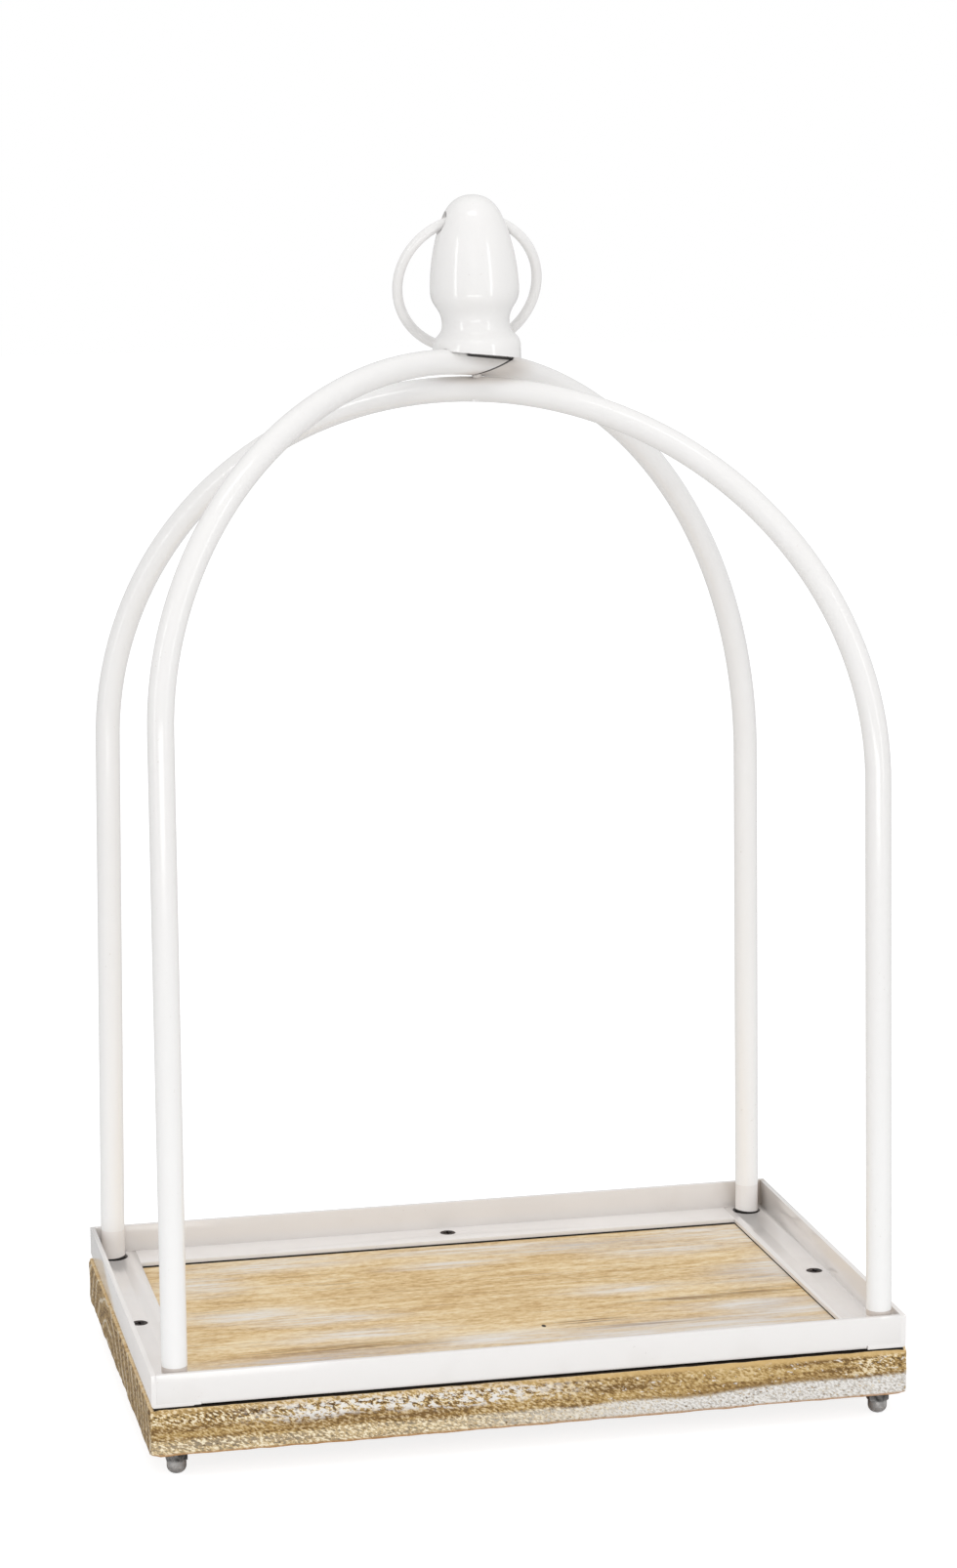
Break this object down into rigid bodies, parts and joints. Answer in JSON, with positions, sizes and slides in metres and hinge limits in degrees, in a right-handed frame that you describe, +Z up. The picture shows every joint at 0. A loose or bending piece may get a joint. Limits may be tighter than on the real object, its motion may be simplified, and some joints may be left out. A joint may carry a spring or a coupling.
{
  "type": "open candle lantern",
  "caption": "Open white metal lantern with crossed bar arches, a turned finial and a carry ring, standing on a whitewashed wooden base with an angle-steel tray rim.",
  "frame": {"origin": "On the floor, under the middle of the wooden base.", "axes": "+X runs to the right along the base's long side, +Y to the back, +Z up. The carry ring hangs on the +Y side."},
  "size_m": [0.302, 0.194, 0.4787],
  "materials": {
    "white_enamel": "gloss",
    "whitewashed_wood": "matte",
    "zinc_steel": "satin",
    "dark_steel": "satin"
  },
  "bodies": {
    "frame": {"base_board": "whitewashed_wood", "rail_left": "white_enamel", "rail_right": "white_enamel", "rail_front": "white_enamel", "rail_back": "white_enamel", "rail_screw_left": "dark_steel", "rail_screw_right": "dark_steel", "rail_screw_front": "dark_steel", "rail_screw_back": "dark_steel", "post_stud_front_left": "zinc_steel", "post_stud_front_right": "zinc_steel", "post_stud_back_left": "zinc_steel", "post_stud_back_right": "zinc_steel", "cap_nut_front_left": "zinc_steel", "cap_nut_front_right": "zinc_steel", "cap_nut_back_left": "zinc_steel", "cap_nut_back_right": "zinc_steel", "arch_main": "white_enamel", "arch_front_half": "white_enamel", "arch_back_half": "white_enamel", "finial": "white_enamel", "finial_screw": "zinc_steel"},
    "ring": {"carry_ring": "white_enamel"}
  },
  "joints": [
    {"name": "ring_swing", "type": "hinge", "parent": "frame", "child": "ring", "pos_m": [-0.00161, 0, 0.46789], "axis": [1, 0, 0], "range_deg": [0, 317]}
  ]
}
